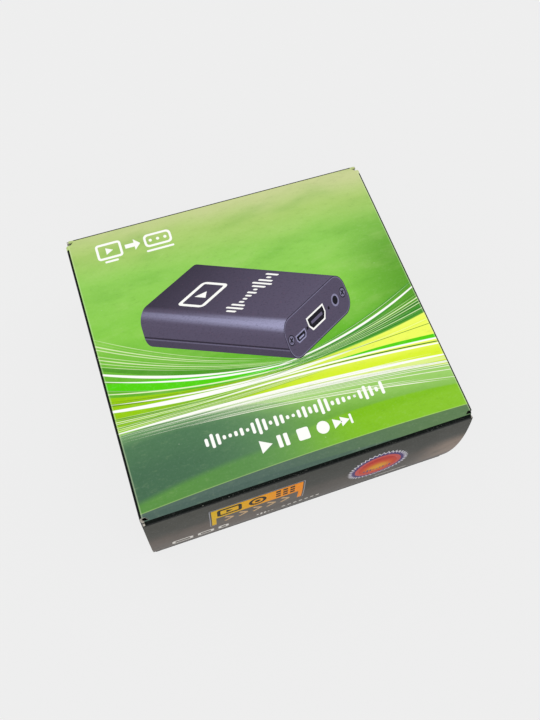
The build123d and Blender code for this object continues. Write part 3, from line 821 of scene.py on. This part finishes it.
class Print:
    """Shapes printed on one panel. Later layers lie over earlier ones."""

    def __init__(self, name, place):
        self.name = name
        self.place = place
        self.shape = lambda u, v: (u, v)
        self.bm = bmesh.new()
        self.tone = self.bm.verts.layers.float.new("tone")
        self.inks = []

    def slab(self, points, faces, ink, layer, tones):
        """A closed slab under joined faces, which are given by the numbers of their corners."""
        if ink not in self.inks:
            self.inks.append(ink)
        rise = PRINT_RISE + layer * LAYER_RISE
        flat = [self.shape(*point) for point in points]
        tops = [self.bm.verts.new((u, v, rise)) for u, v in flat]
        bases = [self.bm.verts.new((u, v, 0.0)) for u, v in flat]
        for top, base, tone in zip(tops, bases, tones):
            top[self.tone] = base[self.tone] = tone
        made = []
        rim = set()
        for face in faces:
            made.append([tops[i] for i in face])
            made.append([bases[i] for i in reversed(face)])
            for a, b in zip(face, (*face[1:], face[0])):
                if (b, a) in rim:
                    rim.remove((b, a))
                else:
                    rim.add((a, b))
        made.extend([tops[b], tops[a], bases[a], bases[b]] for a, b in sorted(rim))
        for corners in made:
            self.bm.faces.new(corners).material_index = self.inks.index(ink)

    def fill(self, outline, ink, layer=0, tone=0.0):
        self.slab(outline, [range(len(outline))], ink, layer, [tone] * len(outline))

    def hoop(self, outer, inner, ink, layer=0, tone=0.0):
        """The band between two outlines with as many points."""
        count = len(outer)
        following = [(i + 1) % count for i in range(count)]
        faces = [(i, following[i], count + following[i], count + i) for i in range(count)]
        self.slab([*outer, *inner], faces, ink, layer, [tone] * 2 * count)

    def screen(self, x, y, width, height, line, ink, layer=0):
        """A screen's outline with a play mark in it."""
        outer = rounded(x, y, width, height, height * 0.18)
        inner = rounded(x, y, width - 2 * line, height - 2 * line, height * 0.06)
        self.hoop(outer, inner, ink, layer)
        self.fill(triangle(x, y, height * 0.42), ink, layer)

    def wave(self, x, y, width, height, count, share, ink, layer=0):
        """A row of bars, as a picture of sound."""
        pitch = width / count
        for i in range(count):
            swing = abs(math.sin(0.83 * i + 0.4) * math.cos(0.31 * i + 0.2))
            tall = height * (0.16 + 0.84 * swing)
            place = x + (i + 0.5) * pitch - width / 2
            self.fill(rounded(place, y, pitch * share, tall, pitch * share * 0.45), ink, layer)

    def finish(self, body, sliced=False):
        """Lays the shapes on their panel and makes the piece."""
        if sliced:
            heights = [vert.co.y for vert in self.bm.verts]
            v = math.ceil(min(heights) / SLICE) * SLICE
            while v < max(heights):
                parts = [*self.bm.verts, *self.bm.edges, *self.bm.faces]
                bmesh.ops.bisect_plane(self.bm, geom=parts, dist=1e-5, plane_co=(0, v, 0), plane_no=(0, 1, 0))
                v += SLICE
        for vert in self.bm.verts:
            vert.co = self.place(*vert.co)
        bmesh.ops.recalc_face_normals(self.bm, faces=self.bm.faces)
        mesh = bpy.data.meshes.new(self.name)
        self.bm.to_mesh(mesh)
        self.bm.free()
        for ink in self.inks:
            mesh.materials.append(ink)
        piece = add_object(self.name, mesh)
        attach(piece, body)


def ink(name, colour, amount):
    """One printing ink, mottled like the board around it."""
    surface = print_surface(name)
    return paper_finish(surface, speckled(surface, colour, amount))


def toned_ink():
    """The picture's slate inks, from shade to highlight by each corner's tone."""
    surface = print_surface("ink_picture")
    tone = surface.attribute("tone")
    colour = mix(srgb(46, 41, 54), srgb(90, 83, 104), step(tone, -0.1, 0.4))
    colour = mix(colour, srgb(164, 163, 196), step(tone, 0.35, 1.0))
    grain = surface.noise(0.55, detail=3, roughness=0.8)
    colour = mix(colour, srgb(34, 28, 42), step(grain, 0.45, 0.85) * 0.32)
    brushed = surface.noise(0.6, detail=3, stretch=(0.5, 1, 1))
    colour = mix(colour, srgb(46, 42, 56), step(brushed, 0.46, 0.3) * 0.25)
    flecks = surface.noise(0.8, detail=2, roughness=0.6)
    colour = mix(colour, srgb(120, 84, 104), step(flecks, 0.6, 0.8) * 0.3)
    return paper_finish(surface, colour)


WHITE_INK = ink("ink_white", srgb(252, 252, 248), 0.012)
DARK_INK = ink("ink_dark", srgb(30, 28, 36), 0.01)
SLATE_INK = toned_ink()

# The picture of the capture box, in slanted projection: three edges of the box as they lie on the print

PICTURE_CORNER = Vector((7.0, -20.0))
PICTURE_ACROSS = Vector((31.0, 16.0))
PICTURE_ALONG = Vector((-52.0, 22.0))
PICTURE_UP = Vector((0.0, 17.5))
CASE_LOW, CASE_HIGH = node_box("front_end_plate")
CASE_WIDTH = CASE_HIGH.x - CASE_LOW.x
CASE_HEIGHT = CASE_HIGH.z - CASE_LOW.z
CASE_RADIUS = 8.0
SEAM_HEIGHT = 8.6
SEAM_GAP = 0.9
SEAM_GLINT = 0.7
PLATE_DARK_END = 0.4
PLATE_PALE_END = 0.9
SCREW_INSET = 2.6
SCREW_HEAD = 2.2
SCREW_SEAT = 2.7
SLOT_REACH = 1.5
SLOT_LEAN = 0.6
SLOT_WIDTH = 0.8
LIGHT_INSET = 1.2
LIGHT_RADIUS = 0.85
CASE_LENGTH = -2 * CASE_LOW.y
SHINE_ANGLE = 130
SHINE_SPREAD = 27
RIM_ANGLE = 50
RIM_SPREAD = 14


def picture(a, h, along=0.0):
    """Where a point of the box falls on the print: a across its end, h up and a share along it."""
    across = PICTURE_ACROSS * ((a + CASE_WIDTH / 2) / CASE_WIDTH)
    return PICTURE_CORNER + across + PICTURE_UP * (h / CASE_HEIGHT) + PICTURE_ALONG * along


def case_outline(inset=0.0):
    """The end of the case, or a line at a distance inside it."""
    size = CASE_WIDTH - 2 * inset, CASE_HEIGHT - 2 * inset
    return rounded(0, CASE_HEIGHT / 2, *size, CASE_RADIUS - inset)


def lid_place(a, reach):
    """A point on the pictured top, by a across and reach along it, in the box's millimetres."""
    return picture(a, CASE_HEIGHT, reach / CASE_LENGTH)


def plate_spot(node):
    """The middle of a socket on the real end plate, and its width and height."""
    low, high = node_box(node)
    return (low.x + high.x) / 2, (low.z + high.z) / 2 - CASE_LOW.z, high.x - low.x, high.z - low.z


def edge_tone(i, far):
    """How light a point of the case's outline looks, far along it. 90 degrees is up and 180 is left."""
    quarter, turned = divmod(i, ROUND_POINTS + 1)
    angle = 90 * quarter + 90 * turned / ROUND_POINTS
    shine = math.exp(-(((angle - SHINE_ANGLE) / SHINE_SPREAD) ** 2))
    rim = math.exp(-(((angle - RIM_ANGLE) / RIM_SPREAD) ** 2))
    side = 0.3 if angle > 160 else 0.18
    shade = 0.12 if angle > 182 else 0.0
    lid = 0.16 * (1.0 - 2.0 * far) if 60 < angle < 120 else 0.0
    return side + 0.75 * shine * (1.0 - 0.4 * far) + 0.3 * rim - shade + lid


def picture_body(art):
    """The long faces of the pictured case, as strips between its two ends."""
    outline = case_outline()
    shown = []
    for i in range(len(outline)):
        j = (i + 1) % len(outline)
        edge = picture(*outline[j]) - picture(*outline[i])
        if edge.x * PICTURE_ALONG.y - edge.y * PICTURE_ALONG.x < 0:
            shown.append((i, j))
    used = sorted({i for pair in shown for i in pair})
    points = [picture(*outline[i], far) for far in (0.0, 1.0) for i in used]
    tones = [edge_tone(i, far) for far in (0.0, 1.0) for i in used]
    strips = [(used.index(j), used.index(i)) for i, j in shown]
    faces = [(b, a, len(used) + a, len(used) + b) for b, a in strips]
    art.slab(points, faces, SLATE_INK, 0, tones)
    side = -CASE_WIDTH / 2
    for h, width, tone in ((SEAM_HEIGHT, SEAM_GAP, 0.0), (SEAM_HEIGHT - SEAM_GAP, SEAM_GLINT, 0.5)):
        corners = [picture(side, *spot) for spot in ((h, 0), (h - width, 0), (h - width, 1), (h, 1))]
        art.fill(corners, SLATE_INK, 1, tone)


def pictured_socket(art, node, rim, rim_ink, rim_tone, core, core_tone):
    """A socket's rim, dark mouth and core. The core has its rise, its shares of the mouth and its radius."""
    x, h, width, height = plate_spot(node)
    mouth = tapered(x, h, width, height)
    art.hoop(tapered(x, h, width + rim, height + rim), mouth, rim_ink, 2, rim_tone)
    art.fill(mouth, DARK_INK, 1.5)
    rise, across, up, radius = core
    art.fill(rounded(x, h + rise, width * across, height * up, radius), SLATE_INK, 3, core_tone)


def picture_plate(art):
    """The end plate with its screws and sockets, over the body."""
    middle = CASE_HEIGHT / 2
    art.fill(case_outline(), SLATE_INK, 1, tone=0.3)
    art.hoop(case_outline(), case_outline(PLATE_DARK_END), SLATE_INK, 2, tone=-0.05)
    art.hoop(case_outline(PLATE_DARK_END), case_outline(PLATE_PALE_END), SLATE_INK, 2, tone=0.58)
    pictured_socket(art, "video_in_shell", 1.8, WHITE_INK, 0.0, (0.0, 0.72, 0.26, 0.3), 0.5)
    pictured_socket(art, "power_socket_shell", 1.4, SLATE_INK, 0.8, (-0.3, 0.6, 0.3, 0.2), 0.9)
    x, h, width, height = plate_spot("mic_jack_sleeve")
    art.hoop(disc(x, h, width * 0.9), disc(x, h, width * 0.62), SLATE_INK, 2, tone=0.7)
    art.fill(disc(x, h, width * 0.62), DARK_INK, 1.5)
    low, high = node_box("status_lights")
    for x in (low.x + LIGHT_INSET, high.x - LIGHT_INSET):
        art.fill(disc(x, CASE_HEIGHT * 0.45, LIGHT_RADIUS, 16), DARK_INK, 2)
    low, high = node_box("front_plate_screws")
    for x in (low.x + SCREW_INSET, high.x - SCREW_INSET):
        head = disc(x, middle, SCREW_HEAD, 24)
        art.hoop(disc(x, middle, SCREW_SEAT, 24), head, DARK_INK, 2)
        art.fill(head, SLATE_INK, 2, tone=0.6)
        centre = Vector((x, middle))
        for slot, layer in ((Vector((SLOT_REACH, SLOT_LEAN)), 3), (Vector((-SLOT_LEAN, SLOT_REACH)), 3.5)):
            art.fill(bar(centre - slot, centre + slot, SLOT_WIDTH), DARK_INK, layer)


def device_picture():
    art = Print("printed_device", on_top)
    picture_body(art)
    art.shape = picture
    picture_plate(art)
    art.shape = lid_place
    art.screen(-6, 66, 26, 17, 2.2, WHITE_INK, 1)
    art.wave(0, 38, 44, 13, 13, 0.5, WHITE_INK, 1)
    art.finish("carton")


def box_sign(art, x, y, width, height, line):
    """A rounded box with three sockets, drawn in outline."""
    art.hoop(
        rounded(x, y, width, height, height * 0.3),
        rounded(x, y, width - 2 * line, height - 2 * line, height * 0.3 - line * 0.7), WHITE_INK,
    )
    for share in (-0.27, 0.0, 0.27):
        art.fill(disc(x + width * share, y, height * 0.11, 16), WHITE_INK)


def arrow(x, y, length, height):
    """The outline of an arrow that points to the right."""
    neck = x + length * 0.1
    shaft = height * 0.18
    left = x - length / 2
    return vectors(
        (left, y - shaft), (neck, y - shaft), (neck, y - height / 2), (x + length / 2, y),
        (neck, y + height / 2), (neck, y + shaft), (left, y + shaft),
    )


def top_signs():
    """White signs: screen, arrow and box at the back left, and two rows of player signs at the front."""
    art = Print("printed_signs", on_top)
    screen_x = -48.6
    box_x = -28.2
    y = 50.4
    foot = 45.6
    art.screen(screen_x, y + 0.2, 10.6, 7.6, 1.0, WHITE_INK)
    art.fill(rounded(screen_x, foot, 5.6, 0.9, 0.4), WHITE_INK)
    art.fill(arrow(-38.8, y, 6.4, 5.2), WHITE_INK)
    box_sign(art, box_x, y, 11.6, 6.2, 0.95)
    art.fill(rounded(box_x, foot, 11.6, 0.9, 0.4), WHITE_INK)
    art.wave(0.5, -39.0, 72.0, 6.4, 32, 0.56, WHITE_INK)
    y = -46.8
    art.fill(triangle(-14.0, y, 5.0), WHITE_INK)
    for x in (-8.6, -6.0):
        art.fill(rounded(x, y, 1.6, 4.8, 0.4), WHITE_INK)
    art.fill(rounded(0.6, y, 4.6, 4.6, 0.7), WHITE_INK)
    art.fill(disc(8.4, y, 2.45), WHITE_INK)
    for x in (14.2, 17.2):
        art.fill(triangle(x, y, 3.8), WHITE_INK)
    art.fill(rounded(19.6, y, 0.9, 3.8, 0.3), WHITE_INK)
    art.finish("carton")


# Shapes on the front end panel

BADGE_LEFT = -40.0
BADGE_RIGHT = -4.0
BADGE_LOW = 27.4
BADGE_SPLIT = 36.6
BADGE_HIGH = 45.2
SEAL_PLACE = (27.4, 34.6)
SEAL_RADIUS = 12.8
SEAL_TEETH = 40


def gold_ink():
    surface = print_surface("ink_gold")
    share = step(surface.x, BADGE_LEFT, BADGE_RIGHT)
    colour = mix(srgb(210, 168, 2), srgb(230, 136, 8), share)
    return paper_finish(surface, speckled(surface, colour, 0.02))


def flame_ink():
    """Red at the rim and yellow in the middle, as the light of a low sun."""
    surface = print_surface("ink_flame")
    x = surface.x - SEAL_PLACE[0]
    z = (surface.z - SEAL_PLACE[1] + 1.0) * 1.25
    far = root(x * x + z * z)
    colour = mix(srgb(206, 146, 16), srgb(196, 68, 18), step(far, 1.0, 7.0))
    colour = mix(colour, srgb(176, 42, 34), step(far, 5.0, 10.0))
    return paper_finish(surface, speckled(surface, colour, 0.02))


def front_badge():
    """A gold badge: three dark signs above, and a row of chevrons in its inset."""
    gold = gold_ink()
    inset_ink = ink("ink_inset", srgb(92, 86, 80), 0.01)
    tan = ink("ink_tan", srgb(190, 158, 118), 0.01)
    dark = ink("ink_badge_dark", srgb(38, 34, 20), 0.01)
    art = Print("printed_badge", on_front)
    width = BADGE_RIGHT - BADGE_LEFT
    x = (BADGE_LEFT + BADGE_RIGHT) / 2
    height = BADGE_HIGH - BADGE_LOW
    y = (BADGE_HIGH + BADGE_LOW) / 2
    pale = ink("ink_pale_line", srgb(150, 150, 156), 0.01)
    art.hoop(
        rounded(x, y, width + 1.6, height + 1.6, 0.5), rounded(x, y, width + 1.0, height + 1.0, 0.3), pale
    )
    art.fill(rounded(x, y, width, height, 0.3), gold)
    inset_height = BADGE_SPLIT - BADGE_LOW + 0.4
    inset_y = BADGE_SPLIT - inset_height / 2
    art.fill(rounded(x, inset_y - 0.4, width - 3.4, inset_height, 0.2), inset_ink, 1)
    sign_y = (BADGE_SPLIT + BADGE_HIGH) / 2
    art.screen(x - 11.0, sign_y, 9.6, 6.8, 1.3, dark, 1)
    art.hoop(disc(x, sign_y, 3.5), disc(x, sign_y, 2.2), dark, 1)
    art.fill(disc(x, sign_y, 1.1), dark, 1)
    for i in (-1, 0, 1):
        for j in (-1, 0, 1):
            art.fill(rounded(x + 11.0 + 2.8 * i, sign_y + 2.4 * j, 1.9, 1.6, 0.2), dark, 1)
    for i in range(5):
        left = BADGE_LEFT + 5.2 + 5.6 * i
        tip = (left + 3.2, inset_y - 0.2)
        art.fill(bar((left, inset_y + 2.6), tip, 1.2), tan, 2)
        art.fill(bar((left, inset_y - 3.0), tip, 1.2), tan, 3)
    art.finish("front_closure", sliced=True)


def front_seal():
    """A round seal with a toothed rim and plain rings."""
    x, y = SEAL_PLACE
    rim = ink("ink_rim", srgb(206, 204, 212), 0.01)
    violet = ink("ink_violet", srgb(74, 56, 104), 0.01)
    salmon = ink("ink_salmon", srgb(186, 74, 70), 0.02)
    art = Print("printed_seal", on_front)
    teeth = serrated(x, y, SEAL_RADIUS - 1.5, SEAL_RADIUS, SEAL_TEETH)
    art.fill(teeth, violet)
    art.hoop(teeth, serrated(x, y, SEAL_RADIUS - 2.2, SEAL_RADIUS - 0.8, SEAL_TEETH), rim, 1)
    art.fill(disc(x, y, SEAL_RADIUS - 3.2), salmon, 2)
    art.fill(disc(x, y, SEAL_RADIUS - 4.8), flame_ink(), 3)
    art.wave(x, y - 3.4, 12.0, 3.4, 9, 0.56, violet, 4)
    art.finish("front_closure", sliced=True)


def front_signs():
    """Small white signs along the foot of the panel: socket outlines and a dotted line."""
    art = Print("printed_front_signs", on_front)
    white = ink("ink_small_white", srgb(214, 210, 204), 0.01)
    y = 17.8
    for x, width in ((-52.0, 8.4), (-42.6, 6.6), (-35.4, 4.2)):
        art.hoop(rounded(x, y, width, 6.6, 1.4), rounded(x, y, width - 2.4, 3.8, 0.5), white)
    art.wave(-18.2, y, 7.6, 5.0, 5, 0.55, white)
    for i in range(7):
        art.fill(rounded(-10.4 + 2.4 * i, y, 1.4, 1.9, 0.4), white)
    art.fill(rounded(36.4, 15.4, 14.0, 0.9, 0.3), white)
    art.finish("front_closure", sliced=True)


device_picture()
top_signs()
front_badge()
front_seal()
front_signs()


# Camera, light and stage


def make_camera():
    """The photograph's viewpoint, with its frame's shift."""
    data = bpy.data.cameras.new("camera")
    data.sensor_width = SENSOR
    data.lens = FOCAL_PIXELS * SENSOR / PHOTO_HEIGHT
    data.shift_x = (PHOTO_WIDTH / 2 - CENTRE_PIXEL[0]) / PHOTO_HEIGHT
    data.shift_y = (CENTRE_PIXEL[1] - PHOTO_HEIGHT / 2) / PHOTO_HEIGHT
    data.clip_start = 0.01
    camera = add_object("camera", data)
    forward = CAMERA_FORWARD.normalized()
    right = (CAMERA_RIGHT - forward * CAMERA_RIGHT.dot(forward)).normalized()
    up = right.cross(forward)
    turn = Matrix((right, up, -forward)).transposed()
    camera.matrix_world = Matrix.Translation(CAMERA_PLACE * MM) @ turn.to_4x4()
    SCENE.camera = camera


PALE = 0.855
SKY_STRENGTH = 0.855
SUN_STRENGTH = 0.62
SUN_ANGLE = 35
SUN_TILT = (24, -14, 0)
FLOOR_RADIUS = 4.0
EVEN_SHARE = 0.93
FLOOR_SIDES = 96


def make_light():
    """An even pale sky and one soft sun, high over the front left corner."""
    world = bpy.data.worlds.new("world")
    world.use_nodes = True
    SCENE.world = world
    background = world.node_tree.nodes["Background"]
    background.inputs["Color"].default_value = (1, 1, 1, 1)
    background.inputs["Strength"].default_value = SKY_STRENGTH
    data = bpy.data.lights.new("sun", "SUN")
    data.energy = SUN_STRENGTH
    data.angle = math.radians(SUN_ANGLE)
    sun = add_object("sun", data)
    sun.rotation_euler = [math.radians(angle) for angle in SUN_TILT]


def floor_material():
    """Pale paper. Seen directly or in a reflection it is mostly even, and keeps a light shadow."""
    surface = Surface("floor_paper", 0.9, ior=1.1)
    surface.set("Base Color", (PALE, PALE, PALE, 1))
    tree = surface.tree
    rays = add_node(tree, "LightPath")
    seen = Field(tree, rays.outputs["Is Camera Ray"]) + Field(tree, rays.outputs["Is Glossy Ray"])
    seen = seen + Field(tree, rays.outputs["Is Transmission Ray"])
    even = add_node(tree, "Emission")
    even.inputs["Color"].default_value = (PALE, PALE, PALE, 1)
    blend = add_node(tree, "MixShader")
    feed(tree, blend.inputs[0], seen * EVEN_SHARE)
    tree.links.new(surface.shader.outputs[0], blend.inputs[1])
    tree.links.new(even.outputs[0], blend.inputs[2])
    tree.links.new(blend.outputs[0], surface.output.inputs[0])
    return surface.material


def make_floor():
    mesh = bpy.data.meshes.new("floor")
    bm = bmesh.new()
    bmesh.ops.create_circle(bm, cap_ends=True, radius=FLOOR_RADIUS, segments=FLOOR_SIDES)
    bm.to_mesh(mesh)
    bm.free()
    floor = add_object("floor", mesh)
    mesh.materials.append(floor_material())


make_camera()
make_light()
make_floor()
SCENE.view_settings.view_transform = "Standard"
